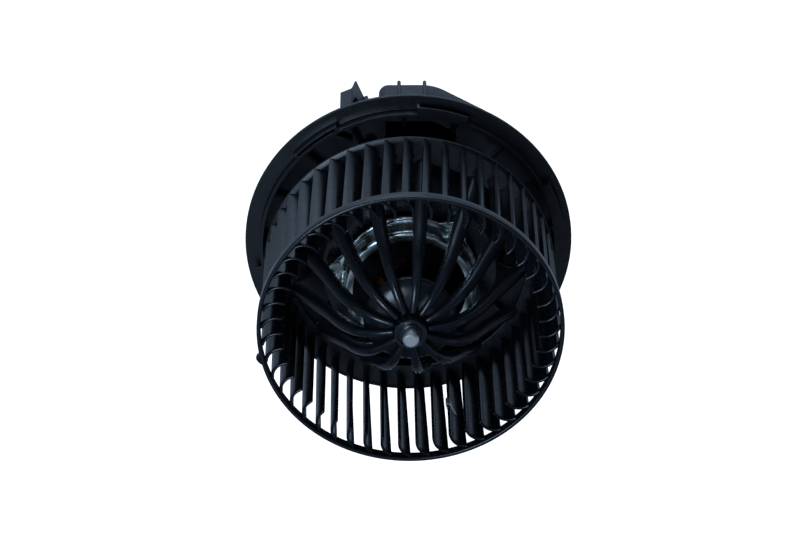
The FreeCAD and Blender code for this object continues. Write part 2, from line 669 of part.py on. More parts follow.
COVER_SCREWS = [("-19.5", "51"), ("43", "57")] + [polar("cover_radius + 4.6", str(angle))
                                                  for angle in (105, 150, 210, 255)]


def make_flange():
    body = new_body("mounting_flange")
    floor_front = "floor_back - floor_wall"
    turn(body, [("pedestal_bore", "-pedestal_front"), ("pedestal_top", "-pedestal_front"),
                ("pedestal_root", floor_front), ("collar_radius - collar_wall", floor_front),
                ("collar_radius - collar_wall", "-collar_front"), ("collar_radius", "-collar_front"),
                ("collar_radius", "0"), ("rim_radius", "0"), ("rim_radius", "rim_thickness"),
                ("collar_radius", "rim_thickness"), ("collar_radius", "floor_back"),
                ("pedestal_root - pedestal_wall", "floor_back"),
                ("pedestal_top - pedestal_wall", "-pedestal_front + pedestal_wall"),
                ("pedestal_bore", "-pedestal_front + pedestal_wall")])
    web_front = "-pedestal_front + 1"
    turn(body, box_outline("sleeve_bore", "sleeve_radius", web_front, floor_front))
    web = fin(body, [(web_front, "sleeve_radius - 0.5"), (web_front, "pedestal_top - 1"),
                     (floor_front, "pedestal_root - 1"), (floor_front, "sleeve_radius - 0.5")],
              "dish_rib_width", "10")
    around(body, [web], "6")

    # bayonet tabs: a plate ahead of the rim with a stop wall at one end and an end wall at the other
    tab_back = "-collar_front + tab_thickness"
    root = "collar_radius - 0.3"
    for index in range(5):
        start = "tab_start + %d * tab_pitch" % index
        turn(body, box_outline(root, "tab_radius", "-collar_front", tab_back), start, "tab_span")
        turn(body, box_outline(root, "tab_radius", "-collar_front", "0.2"), start, "tab_stop_span")
        turn(body, box_outline("collar_radius - 3.4", "tab_radius", "-collar_front", tab_back),
             "%s + tab_span - tab_stop_span" % start, "tab_stop_span")
    # the sprung latch bar and its guide
    turn(body, box_outline("latch_radius - latch_wall", "latch_radius", "-collar_front", "0.2"), "latch_start",
         "latch_span")
    for start in ("latch_start", "latch_start + latch_span - 1.2"):
        turn(body, box_outline(root, "latch_radius", "-collar_front", "0.2"), start, "1.2")
    slab(body, [("-37.6", "65.4"), ("-28.2", "61.8"), ("-28.7", "60.6"), ("-38.1", "64.2")],
         "-collar_front", "2")

    # screw bosses
    for across, up in ear_places():
        disc(body, "4", "-ear_boss_front", "-pedestal_front + 8", across, up)
        disc(body, "screw_radius", "-ear_boss_front", "-23.6", across, up, cut=True)
    for across, up in COVER_SCREWS:
        disc(body, "3.4", "6", "floor_back - 1", across, up)
        disc(body, "screw_radius", "7.4", "floor_back", across, up, cut=True)
    rib = fin(body, [("floor_back - 1", "pedestal_root - 1"), ("floor_back - 1", "collar_radius - 1"),
                     ("3.5", "collar_radius - 1"), ("9.5", "pedestal_root - 0.8")],
              "dish_rib_width", "dish_rib_start")
    around(body, [rib], "dish_rib_count")
    # inlet of the cooling duct
    slab(body, [("-11.5", "51.5"), ("24", "51.5"), ("24", "57.5"), ("12", "63.6"), ("-11.5", "63.6")],
         "2", "floor_back", cut=True)
    gusset = fin(body, [("rim_thickness - 0.5", "collar_radius - 0.5"),
                        ("rim_thickness - 0.5", "rim_radius - 1.5"), ("rim_thickness", "rim_radius - 1.5"),
                        ("rim_thickness + gusset_depth", "collar_radius - 0.5")], "dish_rib_width")
    around(body, [gusset], "rim_rib_count")


# ---------------------------------------------------------------- rear cover

def make_cover():
    body = new_body("rear_cover")
    disc(body, "cover_radius", "floor_back", "cover_back")
    knee = "13.4"
    side = "duct_top - (cover_radius - %s) * tan(duct_slope)" % knee
    slab(body, [("-duct_left", "0"), ("cover_radius", "0"), ("cover_radius", side), (knee, "duct_top"),
                ("-duct_left", "duct_top")], "floor_back", "cover_back")

    def corner(across, up):
        def test(edge):
            middle = edge.CenterOfMass
            return (len(edge.Vertexes) == 2 and abs(edge.Vertexes[0].Y - edge.Vertexes[1].Y) > 20
                    and math.hypot(middle.x - number(across), middle.z - number(up)) < 0.2)
        return test

    rounded(body, "5", corner("-duct_left", "duct_top"))
    rounded(body, "25", corner(knee, "duct_top"))
    rounded(body, "18", corner("cover_radius", side))
    back = number("cover_back")
    rounded(body, "3.2", lambda edge: all(abs(vertex.Y - back) < 1e-6 for vertex in edge.Vertexes)
            and abs(edge.CenterOfMass.y - back) < 1e-6)
    base = body.Tip
    front = number("floor_back")
    openings = ["Face%d" % (index + 1) for index, face in enumerate(base.Shape.Faces)
                if abs(face.CenterOfMass.y - front) < 1e-6]
    shell = body.newObject("PartDesign::Thickness", "rear_cover_shell")
    shell.Base = (base, openings)
    shell.setExpression("Value", bound("cover_wall"))
    shell.Reversed = True
    doc.recompute()

    for across, low in (("-4.5", "duct_top - 0.6"), ("8.7", "duct_top - 1.1")):
        slab(body, box_outline("%s - 0.8" % across, "%s + 0.8" % across, low, "duct_top + 1.5"),
             "floor_back", "cover_back - 3")
    turn(body, box_outline("12", "14", "cover_back - 0.5", "cover_back + 1.5"))
    spoke = slab(body, box_outline("-0.8", "0.8", "13", "42"), "cover_back - 0.5", "cover_back + 1")
    around(body, [spoke], "8")
    for across, up in COVER_SCREWS:
        disc(body, "4", "floor_back", "floor_back + 3", across, up)
    for angle in (105, 150, 210, 255):
        slab(body, box_outline("-4", "4", "cover_radius - 1.2", "cover_radius + 4.6"), "floor_back",
             "floor_back + 3", str(angle))
    slab(body, box_outline("-19.5", "-duct_left + 1", "47", "55"), "floor_back", "floor_back + 3")
    slab(body, [("43", "53"), ("46", "59.6"), ("37.6", "60.4"), ("34.5", "55.2"), ("44", "49")],
         "floor_back", "floor_back + 3")
    for across, up in COVER_SCREWS:
        disc(body, "screw_radius + 0.2", "floor_back", "floor_back + 3", across, up, cut=True)
    slab(body, box_outline("-4.7", "2.9", "cover_radius - 5", "cover_radius + 3"), "lead_height - 1.8",
         "lead_height + 1.8", "connector_angle", cut=True)


def make_cover_fixings():
    screws = [screw("cover_screw_%d" % index, "3.2", "screw_radius", "floor_back + 5.2", "floor_back + 3",
                    "8", across, up) for index, (across, up) in enumerate(COVER_SCREWS)]
    node("cover_screws", group("cover_screws", screws))


# ---------------------------------------------------------------- connector and leads

LEAD_SIDES = ("-2.7", "0.9")


def make_connector():
    body = new_body("connector_shell")
    low, high = "connector_inner", "connector_outer"
    slab(body, [("-6", low), ("5.6", low), ("5.6", high + " + 3"), ("4.6", high + " + 2.8"),
                ("2.6", high + " + 0.8"), ("1.5", high), ("-4.6", high), ("-6", high + " - 8")],
         "floor_back", "connector_back", "connector_angle")
    slab(body, box_outline("-4.4", "3.9", "%s + 2" % low, "%s - 1.8" % high), "floor_back + 3",
         "connector_back", "connector_angle", cut=True)
    for side in LEAD_SIDES:
        groove = box_outline("%s - lead_radius" % side, "%s + lead_radius" % side, low + " - 1", low + " + 2.5")
        slab(body, groove, "lead_height - lead_radius", "connector_back", "connector_angle", cut=True)
    # the nose that the plug's latch snaps over
    slab(body, box_outline("5", "7.6", "68", "71.4"), "connector_back - 5.6", "connector_back - 0.6",
         "connector_angle")
    blades = new_body("connector_terminals")
    for side in LEAD_SIDES:
        slab(blades, box_outline("%s - 0.4" % side, "%s + 0.4" % side, "64", "70.3"), "floor_back + 1.5",
             "connector_back - 3", "connector_angle")


def bent_wire(points, radius):
    """A round wire along straight runs joined by arcs that touch both runs."""
    edges = []
    start = points[0]
    for before, corner, after in zip(points, points[1:], points[2:]):
        arriving = (corner - before).normalize()
        leaving = (after - corner).normalize()
        half_turn = arriving.getAngle(leaving) / 2
        shorter = min((corner - before).Length, (after - corner).Length)
        bend = 0.45 * shorter / math.tan(half_turn)
        reach = bend * math.tan(half_turn)
        first = corner - arriving * reach
        last = corner + leaving * reach
        inward = (leaving - arriving).normalize()
        middle = corner + inward * (bend / math.cos(half_turn) - bend)
        edges.append(Part.LineSegment(start, first).toShape())
        edges.append(Part.Arc(first, middle, last).toShape())
        start = last
    edges.append(Part.LineSegment(start, points[-1]).toShape())
    path = Part.Wire(edges)
    direction = points[1] - points[0]
    section = Part.Wire([Part.Circle(points[0], direction, radius).toShape()])
    return path.makePipeShell([section], True, True)


def make_leads():
    """Two insulated leads from the brush plate, out through the cover's wall, into the connector."""
    outward = FreeCAD.Vector(math.sin(math.radians(number("connector_angle"))), 0,
                             math.cos(math.radians(number("connector_angle"))))
    sideways = FreeCAD.Vector(outward.z, 0, -outward.x)
    along = FreeCAD.Vector(0, 1, 0)
    wires = []
    for side in LEAD_SIDES:
        line = sideways * number(side)
        foot = line + outward * 20
        turning = along * number("lead_height")
        wires.append(bent_wire([foot + along * number("plate_back"), foot + turning,
                                line + outward * number("connector_inner + 2") + turning],
                               number("lead_radius")))
    leads = doc.addObject("Part::Feature", "motor_leads")
    leads.Shape = Part.makeCompound(wires)
    leads.Placement = FreeCAD.Placement()
    node("motor_leads", leads)

    body = new_body("lead_grommet")
    slab(body, box_outline("-4.7", "2.9", "cover_radius - 3.8", "cover_radius + 1.4"), "lead_height - 1.8",
         "lead_height + 1.8", "connector_angle")
    for low, high in (("0.1", "1.4"), ("-3.8", "-2.6")):
        lip = box_outline("-5.5", "3.4", "cover_radius + " + low, "cover_radius + " + high)
        slab(body, lip, "lead_height - 2.6", "lead_height + 2.6", "connector_angle")
    for side in LEAD_SIDES:
        outline = box_outline("%s - lead_radius" % side, "%s + lead_radius" % side, "cover_radius - 6",
                              "cover_radius + 4")
        slab(body, outline, "lead_height - lead_radius", "lead_height + lead_radius", "connector_angle",
             cut=True)


make_wheel()
make_shaft()
make_boss_clamp()
make_balance_clip()
make_armature()
make_can()
make_ear_ring()
make_motor_fixings()
make_front_carrier()
make_bearings()
make_end_plate()
make_magnets()
make_brush_plate()
make_brushes()
make_suppression()
make_flange()
make_cover()
make_cover_fixings()
make_connector()
make_leads()


# ---------------------------------------------------------------- write the sub-parts

doc.recompute()
failed = [item.Name for item in doc.Objects if "Invalid" in item.State or "Error" in item.State]
if failed:
    raise RuntimeError("objects failed: " + ", ".join(failed))
os.makedirs("parts", exist_ok=True)
for piece in NODES:
    shape = piece.Shape
    if shape.isNull() or not shape.isValid() or shape.Volume <= 0:
        raise RuntimeError("bad shape: " + piece.Label)
    shape.exportStep("parts/%s.step" % piece.Label)
    print("%-28s %3d solids %10.1f mm3" % (piece.Label, len(shape.Solids), shape.Volume))
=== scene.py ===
import json
import math

import bpy
import numpy as np
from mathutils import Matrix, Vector


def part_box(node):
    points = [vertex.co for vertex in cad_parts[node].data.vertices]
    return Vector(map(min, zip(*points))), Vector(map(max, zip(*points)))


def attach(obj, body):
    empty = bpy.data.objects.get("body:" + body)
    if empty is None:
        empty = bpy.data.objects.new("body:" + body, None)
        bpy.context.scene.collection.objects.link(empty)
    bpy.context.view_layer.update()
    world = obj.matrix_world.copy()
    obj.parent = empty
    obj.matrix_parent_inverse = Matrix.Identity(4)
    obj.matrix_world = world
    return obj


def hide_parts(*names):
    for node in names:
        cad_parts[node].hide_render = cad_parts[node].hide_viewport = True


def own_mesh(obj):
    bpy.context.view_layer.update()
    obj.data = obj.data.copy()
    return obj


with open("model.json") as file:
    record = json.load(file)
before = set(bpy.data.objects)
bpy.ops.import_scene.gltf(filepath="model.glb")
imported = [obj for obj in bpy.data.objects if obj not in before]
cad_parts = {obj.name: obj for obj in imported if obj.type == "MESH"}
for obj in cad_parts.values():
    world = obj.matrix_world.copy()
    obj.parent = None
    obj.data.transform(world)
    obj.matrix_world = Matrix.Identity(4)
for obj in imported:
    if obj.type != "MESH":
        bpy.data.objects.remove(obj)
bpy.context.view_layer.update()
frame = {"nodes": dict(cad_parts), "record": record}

# Cabin blower, with its shaft on Y and its inlet towards -Y. The part's own lengths are in millimetres and
# become metres in add_piece. Lights, floor and the camera's distance are in metres. Angles about the shaft
# are in degrees, clockwise from the top as the inlet side sees them.

MM = 0.001


# ---------------------------------------------------------------- camera, light and floor

# the camera's aim is in millimetres, and so are its lens and sensor
CAMERA_AIM = (-4.385, 0.0, -14.186)
CAMERA_AZIMUTH, CAMERA_ELEVATION = math.radians(-0.524), math.radians(29.662)
CAMERA_DISTANCE = 1.3732
CAMERA_LENS, CAMERA_SENSOR = 119.25, 36.0


def place_camera():
    level = math.cos(CAMERA_ELEVATION)
    back = Vector((math.sin(CAMERA_AZIMUTH) * level, -math.cos(CAMERA_AZIMUTH) * level,
                   math.sin(CAMERA_ELEVATION)))
    data = bpy.data.cameras.new("camera")
    data.sensor_width = CAMERA_SENSOR
    data.lens = CAMERA_LENS
    data.clip_start, data.clip_end = 0.05, 60.0
    camera = bpy.data.objects.new("camera", data)
    camera.location = Vector(CAMERA_AIM) * MM + back * CAMERA_DISTANCE
    camera.rotation_mode = "QUATERNION"
    camera.rotation_quaternion = (-back).to_track_quat("-Z", "Y")
    bpy.context.scene.collection.objects.link(camera)
    bpy.context.scene.camera = camera


COOL = (0.66, 0.87, 1.17)
# name, place, the point it faces, size in metres and power in watts
SOFTBOXES = (("top_box", (0.0, 0.3, 1.2), (0, 0, 0), (0.7, 0.45), 2.6),
             ("key_box", (-0.3, 1.1, 1.0), (0, 0, 0), (0.9, 0.5), 0.8),
             ("left_box", (-1.1, -0.35, 0.55), (0, -0.03, 0), (0.6, 0.7), 0.15),
             ("front_box", (-0.36, -1.08, 0.16), (0, -0.08, 0), (0.4, 0.45), 4.4))
AMBIENT = 0.07
# soft pale glows of the surroundings, which light the part and show in it but not behind it: direction,
# the cosine from it where the glow starts and where it is full, and its strength
GLOWS = (((0.0, 0.8, 0.6), 0.55, 0.98, 0.36),
         ((-0.15, -0.91, -0.38), 0.93, 0.985, 0.36),
         ((0.0, 0.0, 1.0), 0.3, 0.9, 0.1),
         ((0.0, 0.8, -0.6), 0.35, 0.92, 0.26),
         ((0.97, 0.0, -0.25), 0.8, 0.97, 0.26),
         ((-0.97, 0.0, -0.25), 0.8, 0.97, 0.2))
FLOOR_HALF, FLOOR_HEIGHT = 12.0, -0.45


def softbox(name, place, target, size, power):
    data = bpy.data.lights.new(name, "AREA")
    data.shape = "RECTANGLE"
    data.size, data.size_y = size
    data.energy = power
    data.color = COOL
    light = bpy.data.objects.new(name, data)
    light.location = place
    light.rotation_mode = "QUATERNION"
    light.rotation_quaternion = (Vector(target) - Vector(place)).to_track_quat("-Z", "Y")
    bpy.context.scene.collection.objects.link(light)


def make_world():
    """White to the camera, and dim with soft glows to everything else."""
    world = bpy.data.worlds.new("studio")
    world.use_nodes = True
    nodes, links = world.node_tree.nodes, world.node_tree.links
    nodes.clear()
    output = nodes.new("ShaderNodeOutputWorld")
    mix = nodes.new("ShaderNodeMixShader")
    seen = nodes.new("ShaderNodeBackground")
    seen.inputs["Color"].default_value = (1, 1, 1, 1)
    seen.inputs["Strength"].default_value = 1.0
    ambient = nodes.new("ShaderNodeBackground")
    ambient.inputs["Color"].default_value = (*COOL, 1)
    way = nodes.new("ShaderNodeTexCoord")
    total = nodes.new("ShaderNodeValue").outputs[0]
    total.default_value = AMBIENT
    for direction, start, full, strength in GLOWS:
        lean = nodes.new("ShaderNodeVectorMath")
        lean.operation = "DOT_PRODUCT"
        lean.inputs[1].default_value = Vector(direction).normalized()
        fall = nodes.new("ShaderNodeMapRange")
        fall.interpolation_type = "SMOOTHSTEP"
        fall.inputs["From Min"].default_value = start
        fall.inputs["From Max"].default_value = full
        fall.inputs["To Min"].default_value = 0.0
        fall.inputs["To Max"].default_value = strength
        links.new(way.outputs["Generated"], lean.inputs[0])
        links.new(lean.outputs["Value"], fall.inputs["Value"])
        plus = nodes.new("ShaderNodeMath")
        plus.operation = "ADD"
        links.new(total, plus.inputs[0])
        links.new(fall.outputs["Result"], plus.inputs[1])
        total = plus.outputs[0]
    links.new(total, ambient.inputs["Strength"])
    path = nodes.new("ShaderNodeLightPath")
    links.new(path.outputs["Is Camera Ray"], mix.inputs[0])
    links.new(ambient.outputs[0], mix.inputs[1])
    links.new(seen.outputs[0], mix.inputs[2])
    links.new(mix.outputs[0], output.inputs["Surface"])
    bpy.context.scene.world = world
    bpy.context.scene.view_settings.view_transform = "Standard"


def lay_floor():
    """A white floor far enough below that the hanging part throws no shadow edge on it."""
    mesh = bpy.data.meshes.new("floor")
    corners = ((-1, -1), (1, -1), (1, 1), (-1, 1))
    mesh.from_pydata([(across * FLOOR_HALF, along * FLOOR_HALF, FLOOR_HEIGHT) for across, along in corners],
                     [], [(0, 1, 2, 3)])
    floor = bpy.data.objects.new("floor", mesh)
    material = bpy.data.materials.new("floor_white")
    material.use_nodes = True
    shader = material.node_tree.nodes["Principled BSDF"]
    shader.inputs["Base Color"].default_value = (0.9, 0.9, 0.9, 1)
    shader.inputs["Roughness"].default_value = 0.9
    shader.inputs["Emission Color"].default_value = (1, 1, 1, 1)
    shader.inputs["Emission Strength"].default_value = 1.0
    mesh.materials.append(material)
    floor.visible_diffuse = False
    floor.visible_glossy = False
    bpy.context.scene.collection.objects.link(floor)


# ---------------------------------------------------------------- materials

MATERIALS = {}


class Surface:
    """A Principled material with helpers for procedural detail, in the object's own coordinates."""

    def __init__(self, name, metallic=0.0):
        material = bpy.data.materials.new(name)
        material.use_nodes = True
        MATERIALS[name] = material
        self.nodes = material.node_tree.nodes
        self.links = material.node_tree.links
        self.shader = self.nodes["Principled BSDF"]
        self.shader.inputs["Metallic"].default_value = metallic
        self.place = self.nodes.new("ShaderNodeTexCoord").outputs["Object"]

    def stretched(self, scale):
        mapping = self.nodes.new("ShaderNodeMapping")
        mapping.inputs["Scale"].default_value = scale
        self.links.new(self.place, mapping.inputs["Vector"])
        return mapping.outputs[0]

    def noise(self, scale, detail=3.0, stretch=(1, 1, 1)):
        texture = self.nodes.new("ShaderNodeTexNoise")
        texture.inputs["Scale"].default_value = scale
        texture.inputs["Detail"].default_value = detail
        self.links.new(self.stretched(stretch), texture.inputs["Vector"])
        return texture.outputs["Fac"]

    def bands(self, scale, direction, distortion):
        texture = self.nodes.new("ShaderNodeTexWave")
        texture.wave_type = "BANDS"
        texture.bands_direction = direction
        texture.inputs["Scale"].default_value = scale
        texture.inputs["Distortion"].default_value = distortion
        self.links.new(self.place, texture.inputs["Vector"])
        return texture.outputs["Fac"]

    def ramp(self, value, low, high, from_low=0.3, from_high=0.7):
        """Maps a value from one range to another, and clamps it there."""
        node = self.nodes.new("ShaderNodeMapRange")
        node.inputs["From Min"].default_value = from_low
        node.inputs["From Max"].default_value = from_high
        node.inputs["To Min"].default_value = low
        node.inputs["To Max"].default_value = high
        self.links.new(value, node.inputs["Value"])
        return node.outputs["Result"]

    def blend(self, factor, first, second):
        """Mixes two colours by a factor. Each is a tuple or another node's output."""
        node = self.nodes.new("ShaderNodeMix")
        node.data_type = "RGBA"
        self.links.new(factor, node.inputs["Factor"])
        for socket, colour in ((node.inputs[6], first), (node.inputs[7], second)):
            if isinstance(colour, tuple):
                socket.default_value = (*colour, 1.0)
            else:
                self.links.new(colour, socket)
        return node.outputs[2]

    def colour(self, socket):
        self.links.new(socket, self.shader.inputs["Base Color"])

    def roughness(self, socket):
        self.links.new(socket, self.shader.inputs["Roughness"])

    def edges(self, low=0.5, high=0.56):
        """Nought on flat and hollow places, rising to one on sharp edges, where highlights are painted."""
        geometry = self.nodes.new("ShaderNodeNewGeometry")
        return self.ramp(geometry.outputs["Pointiness"], 0.0, 1.0, low, high)

    def dulled(self, value, extra, from_y, to_y):
        """A roughness that grows by extra between two depths, because moulded faces are duller inside."""
        split = self.nodes.new("ShaderNodeSeparateXYZ")
        self.links.new(self.place, split.inputs[0])
        plus = self.nodes.new("ShaderNodeMath")
        plus.operation = "ADD"
        self.links.new(value, plus.inputs[0])
        self.links.new(self.ramp(split.outputs["Y"], 0.0, extra, from_y, to_y), plus.inputs[1])
        return plus.outputs[0]

    def bump(self, height, depth, after=None):
        """Raises the surface by a height, on top of another bump if one is given."""
        node = self.nodes.new("ShaderNodeBump")
        node.inputs["Distance"].default_value = depth
        node.inputs["Strength"].default_value = 1.0
        self.links.new(height, node.inputs["Height"])
        if after is not None:
            self.links.new(after, node.inputs["Normal"])
        self.links.new(node.outputs[0], self.shader.inputs["Normal"])
        return node.outputs[0]


def moulded(name, dark, light, rough, grain=0.00002, gloss=0.5, dull=None, edge_highlight_gain=1.2):
    """Moulded or pressed compound: fine grain, cloudy tint and gloss, and sharp edges painted paler as a
    painted highlight.
    """
    surface = Surface(name)
    cloud = surface.noise(55.0, 4.0)
    fine = surface.noise(1400.0, 2.0)
    tint = surface.blend(surface.ramp(cloud, 0.0, 1.0), dark, light)
    # painted highlight: sharp edges are painted paler, as if they caught the light
    painted_edge_highlight = tuple(min(1.0, channel * edge_highlight_gain) for channel in light)
    surface.colour(surface.blend(surface.edges(), tint, painted_edge_highlight))
    polish = surface.ramp(surface.noise(160.0, 5.0), rough[0], rough[1])
    surface.roughness(surface.dulled(polish, *dull) if dull else polish)
    first = surface.bump(fine, grain)
    surface.bump(cloud, grain * 3, first)
    surface.shader.inputs["Specular IOR Level"].default_value = gloss


def plated(name, tint, cool, rough, streak=(1, 1, 1), depth=0.000002):
    """Plated or rolled metal: a cloudy tint, edges painted brighter as a painted highlight, shallow waves and
    fine drawn streaks.
    """
    surface = Surface(name, metallic=1.0)
    cloud = surface.noise(45.0, 3.0)
    tone = surface.blend(surface.ramp(cloud, 0.0, 1.0), tint, cool)
    bright = tuple(min(1.0, channel * 1.5) for channel in cool)
    # painted highlight: sharp edges are painted brighter, as if they caught the light
    surface.colour(surface.blend(surface.edges(0.505, 0.55), tone, bright))
    streaks = surface.noise(260.0, 2.0, streak)
    surface.roughness(surface.ramp(streaks, rough[0], rough[1]))
    first = surface.bump(surface.noise(60.0, 2.0), depth * 12)
    surface.bump(streaks, depth, first)


def wound(name):
    """Enamelled wire laid side by side."""
    surface = Surface(name, metallic=0.7)
    strands = surface.bands(420.0, "DIAGONAL", 3.0)
    surface.colour(surface.blend(surface.ramp(strands, 0.0, 1.0), (0.12, 0.03, 0.012), (0.55, 0.2, 0.07)))
    surface.roughness(surface.ramp(surface.noise(300.0), 0.22, 0.4))
    surface.bump(strands, 0.0003)


def laminated(name):
    """Stacked core sheets, seen edge on."""
    surface = Surface(name, metallic=0.9)
    sheets = surface.bands(320.0, "Y", 0.4)
    surface.colour(surface.blend(surface.ramp(sheets, 0.0, 1.0), (0.1, 0.1, 0.11), (0.32, 0.32, 0.33)))
    surface.roughness(surface.ramp(surface.noise(200.0), 0.35, 0.6))
    surface.bump(sheets, 0.0001)


def make_materials():
    """One material for each slot of the record."""
    # the wheel's painted edge highlight is made stronger than the other mouldings'
    moulded("wheel_plastic", (0.004, 0.005, 0.007), (0.007, 0.009, 0.0125), rough=(0.19, 0.3),
            grain=0.00001, gloss=0.52, dull=(0.08, -0.083, -0.05), edge_highlight_gain=1.9)
    moulded("flange_plastic", (0.005, 0.006, 0.0075), (0.009, 0.0105, 0.013), rough=(0.22, 0.3),
            gloss=0.48, dull=(0.06, -0.03, -0.018))
    moulded("cover_plastic", (0.008, 0.01, 0.0135), (0.013, 0.016, 0.021), rough=(0.34, 0.46),
            grain=0.00003)
    moulded("carrier_plastic", (0.001, 0.001, 0.0012), (0.002, 0.002, 0.0023), rough=(0.5, 0.65),
            gloss=0.08)
    plated("zinc_steel", (0.55, 0.61, 0.59), (0.68, 0.73, 0.7), rough=(0.2, 0.26),
           streak=(1, 0.15, 1), depth=0.0000004)
    plated("bright_steel", (0.66, 0.66, 0.64), (0.92, 0.92, 0.9), rough=(0.24, 0.42),
           streak=(1, 4, 1), depth=0.00001)
    plated("spring_steel", (0.72, 0.72, 0.7), (0.85, 0.85, 0.83), rough=(0.45, 0.58),
           streak=(1, 3, 1))
    plated("screw_steel", (0.24, 0.27, 0.26), (0.34, 0.38, 0.37), rough=(0.25, 0.35))
    laminated("laminated_steel")
    wound("copper_wire")
    plated("copper_bar", (0.5, 0.2, 0.1), (0.75, 0.38, 0.22), rough=(0.2, 0.35), streak=(1, 6, 1))
    plated("sintered_bronze", (0.3, 0.2, 0.1), (0.45, 0.32, 0.17), rough=(0.45, 0.6))
    plated("brass_sheet", (0.5, 0.36, 0.13), (0.68, 0.52, 0.22), rough=(0.25, 0.4))
    plated("tinned_brass", (0.5, 0.5, 0.48), (0.66, 0.66, 0.63), rough=(0.25, 0.38))
    moulded("ferrite", (0.02, 0.02, 0.022), (0.045, 0.045, 0.05), rough=(0.5, 0.7), grain=0.00005)
    moulded("carbon", (0.01, 0.01, 0.011), (0.022, 0.022, 0.024), rough=(0.5, 0.7), grain=0.00005)
    moulded("insulator_resin", (0.05, 0.014, 0.006), (0.09, 0.028, 0.012), rough=(0.3, 0.4))
    moulded("capacitor_resin", (0.02, 0.07, 0.2), (0.03, 0.1, 0.28), rough=(0.25, 0.35))
    moulded("rubber", (0.007, 0.007, 0.007), (0.013, 0.013, 0.013), rough=(0.65, 0.85),
            grain=0.00004)
    moulded("lead_insulation", (0.01, 0.01, 0.01), (0.018, 0.018, 0.018), rough=(0.4, 0.5))


# ---------------------------------------------------------------- mesh helpers

TUBE_SIDES = 10


def add_piece(name, solids, body, slot, replaced=(), crease=32.0):
    """Makes one piece from closed meshes, each a pair of points in millimetres and faces. Edges sharper
    than the crease angle stay sharp."""
    points, faces = [], []
    for solid_points, solid_faces in solids:
        start = len(points)
        points.extend(tuple(float(value) * MM for value in point) for point in solid_points)
        faces.extend([tuple(index + start for index in face) for face in solid_faces])
    mesh = bpy.data.meshes.new(name)
    mesh.from_pydata(points, [], faces)
    mesh.validate()
    mesh.shade_smooth()
    mesh.set_sharp_from_angle(angle=math.radians(crease))
    piece = bpy.data.objects.new(name, mesh)
    mesh.materials.append(MATERIALS[slot])
    bpy.context.scene.collection.objects.link(piece)
    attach(piece, body)
    if replaced:
        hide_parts(*replaced)
    return piece


def rounded(outline, radius, steps=3):
    """Rounds the corners of a closed outline. Radius is one value or one for each corner."""
    result = []
    count = len(outline)
    radii = radius if isinstance(radius, list) else [radius] * count
    for index, corner in enumerate(outline):
        size = radii[index]
        corner = np.array(corner, float)
        before = np.array(outline[index - 1], float) - corner
        after = np.array(outline[(index + 1) % count], float) - corner
        reach_before, reach_after = np.linalg.norm(before), np.linalg.norm(after)
        before, after = before / reach_before, after / reach_after
        half = math.acos(max(-1.0, min(1.0, float(before @ after)))) / 2
        reach = min(size / math.tan(half), reach_before * 0.48, reach_after * 0.48) if size else 0
        if reach < 1e-6:
            result.append(tuple(corner))
            continue
        for step in range(steps + 1):
            share = step / steps
            start, end = corner + before * reach, corner + after * reach
            result.append(tuple((1 - share) ** 2 * start + 2 * share * (1 - share) * corner
                                + share ** 2 * end))
    return result


def around_shaft(radius, depth, angle):
    """A point by its distance from the shaft, its place along it and its angle about it."""
    return (radius * math.sin(angle), depth, radius * math.cos(angle))


def loft(sections, closed=False):
    """Skins closed sections of equal point counts. Its ends are capped unless it closes on itself."""
    count = len(sections[0])
    points = [point for section in sections for point in section]
    faces = []
    rings = len(sections)
    for ring in range(rings if closed else rings - 1):
        start, following = ring * count, (ring + 1) % rings * count
        for index in range(count):
            other = (index + 1) % count
            faces.append((start + index, start + other, following + other, following + index))
    if not closed:
        faces.append(tuple(range(count - 1, -1, -1)))
        faces.append(tuple(range((rings - 1) * count, rings * count)))
    return points, faces


def turned(outline, segments):
    """Turns a closed outline of (radius, y) points about the shaft."""
    sections = []
    for step in range(segments):
        angle = math.radians(360.0 * step / segments)
        sections.append([around_shaft(radius, depth, angle) for radius, depth in outline])
    return loft(sections, closed=True)


def smooth_line(points, count):
    """A Catmull-Rom curve through points, resampled evenly."""
    line = np.array(points, float)
    ends = np.vstack([2 * line[0] - line[1], line, 2 * line[-1] - line[-2]])
    dense = []
    for index in range(1, len(ends) - 2):
        for step in range(16):
            share = step / 16
            before, start, end, after = ends[index - 1:index + 3]
            dense.append(0.5 * (2 * start + (end - before) * share
                                + (2 * before - 5 * start + 4 * end - after) * share ** 2
                                + (3 * start - before - 3 * end + after) * share ** 3))
    dense.append(line[-1])
    dense = np.array(dense)
    travelled = np.concatenate([[0], np.cumsum(np.linalg.norm(np.diff(dense, axis=0), axis=1))])
    wanted = np.linspace(0, travelled[-1], count)
    return np.stack([np.interp(wanted, travelled, dense[:, axis]) for axis in range(line.shape[1])], axis=1)


def tube(path, radius):
    """A round tube along an open path of points, with its rings turned as little as possible."""
    path = [Vector(point) for point in path]
    sections = []
    side = None
    for index, point in enumerate(path):
        before = path[max(0, index - 1)]
        after = path[min(len(path) - 1, index + 1)]
        along = (after - before).normalized()
        if side is None:
            side = along.orthogonal().normalized()
        side = (side - along * side.dot(along)).normalized()
        other = along.cross(side)
        sections.append([tuple(point + radius * (math.cos(turn) * side + math.sin(turn) * other))
                         for turn in np.linspace(0, 2 * math.pi, TUBE_SIDES, endpoint=False)])
    return loft(sections)


def bevel_edges(piece, width, harden=False):
    """Rounds the piece's sharp edges a little, so that they catch light. Width is in millimetres."""
    bevel = piece.modifiers.new("edge_bevel", "BEVEL")
    bevel.width = width * MM
    bevel.segments = 2
    bevel.limit_method = "ANGLE"
    bevel.angle_limit = math.radians(35.0)
    bevel.harden_normals = harden
    bevel.use_clamp_overlap = False


# ---------------------------------------------------------------- wheel

